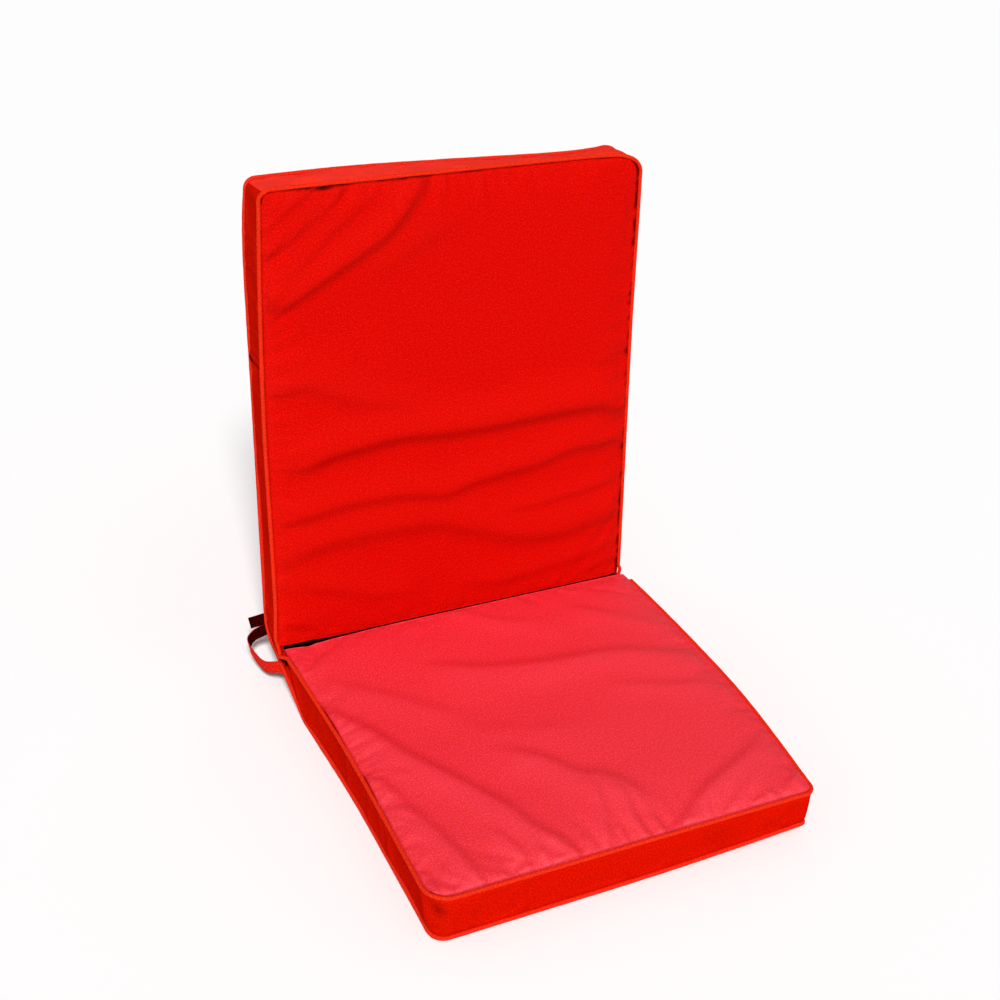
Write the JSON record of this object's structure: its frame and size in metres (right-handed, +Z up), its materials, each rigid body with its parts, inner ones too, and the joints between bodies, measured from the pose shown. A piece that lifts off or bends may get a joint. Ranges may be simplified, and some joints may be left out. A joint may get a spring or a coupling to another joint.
{
  "type": "chair cushion",
  "caption": "Hinged high-back chair cushion: piped box-edge seat pad and back pad of foam in woven fabric, folding at a fabric hinge, with tie tapes.",
  "frame": {"origin": "centre of the seat pad's flat underside, on the plane of the chair's seat", "axes": "+X to the sitter's left along the hinge line, +Y to the rear, -Y the front edge, +Z up"},
  "size_m": [0.4444, 0.5015, 0.5293],
  "materials": {
    "cover_fabric": "matte",
    "piping_fabric": "matte",
    "piping_cord": "matte",
    "foam": "matte",
    "tie_tape": "matte",
    "zip_tape": "matte",
    "zip_coil": "satin",
    "zip_metal": "gloss"
  },
  "bodies": {
    "seat": {"seat_foam": "foam", "seat_top_panel": "cover_fabric", "seat_bottom_panel": "cover_fabric", "seat_hinge_wall": "cover_fabric", "seat_boxing": "cover_fabric", "seat_top_piping": "piping_fabric", "seat_top_piping_cord": "piping_cord", "seat_bottom_piping": "piping_fabric", "seat_bottom_piping_cord": "piping_cord", "hinge_welt": "cover_fabric", "hinge_skin": "cover_fabric", "hinge_inner_piping_right": "piping_fabric", "hinge_inner_piping_right_cord": "piping_cord", "hinge_outer_piping_right": "piping_fabric", "hinge_outer_piping_right_cord": "piping_cord", "hinge_gusset_right": "cover_fabric", "hinge_inner_piping_left": "piping_fabric", "hinge_inner_piping_left_cord": "piping_cord", "hinge_outer_piping_left": "piping_fabric", "hinge_outer_piping_left_cord": "piping_cord", "hinge_gusset_left": "cover_fabric", "seat_zip_tape_rear": "zip_tape", "seat_zip_tape_front": "zip_tape", "seat_zip_coil": "zip_coil", "seat_zip_stops": "zip_metal"},
    "back": {"back_foam": "foam", "back_front_panel": "cover_fabric", "back_rear_panel": "cover_fabric", "back_hinge_wall": "cover_fabric", "back_boxing_upper": "cover_fabric", "back_boxing_right": "cover_fabric", "back_boxing_left": "cover_fabric", "back_front_piping": "piping_fabric", "back_front_piping_cord": "piping_cord", "back_rear_piping": "piping_fabric", "back_rear_piping_cord": "piping_cord", "back_zip_tape_lower": "zip_tape", "back_zip_tape_upper": "zip_tape", "back_zip_coil": "zip_coil", "back_zip_stops": "zip_metal", "tie_right_upper": "tie_tape", "tie_left_upper": "tie_tape", "tie_right_lower": "tie_tape", "tie_left_lower": "tie_tape"},
    "seat_zip_slider": {"seat_zip_slider": "zip_metal"},
    "seat_zip_pull": {"seat_zip_pull": "zip_metal"},
    "back_zip_slider": {"back_zip_slider": "zip_metal"},
    "back_zip_pull": {"back_zip_pull": "zip_metal"}
  },
  "joints": [
    {"name": "back_fold", "type": "hinge", "parent": "seat", "child": "back", "pos_m": [0, 0.195, 0.05], "axis": [1, 0, 0], "range_deg": [-83, 96], "deforming": ["hinge_skin", "hinge_inner_piping_right", "hinge_inner_piping_right_cord", "hinge_outer_piping_right", "hinge_outer_piping_right_cord", "hinge_gusset_right", "hinge_inner_piping_left", "hinge_inner_piping_left_cord", "hinge_outer_piping_left", "hinge_outer_piping_left_cord", "hinge_gusset_left", "tie_right_lower", "tie_left_lower", "tie_right_upper", "tie_left_upper"]},
    {"name": "seat_zip_slide", "type": "slide", "parent": "seat", "child": "seat_zip_slider", "axis": [1, 0, 0], "range_m": [0, 0.328]},
    {"name": "back_zip_slide", "type": "slide", "parent": "back", "child": "back_zip_slider", "axis": [1, 0, 0], "range_m": [0, 0.328]},
    {"name": "seat_zip_pull_swing", "type": "hinge", "parent": "seat_zip_slider", "child": "seat_zip_pull", "pos_m": [-0.1655, 0.1627, 0.00842], "axis": [0, -0.9295, -0.3688], "range_deg": [-160, 0]},
    {"name": "back_zip_pull_swing", "type": "hinge", "parent": "back_zip_slider", "child": "back_zip_pull", "pos_m": [-0.1655, 0.25468, 0.08801], "axis": [0, -0.1219, -0.9925], "range_deg": [-160, 0]}
  ]
}
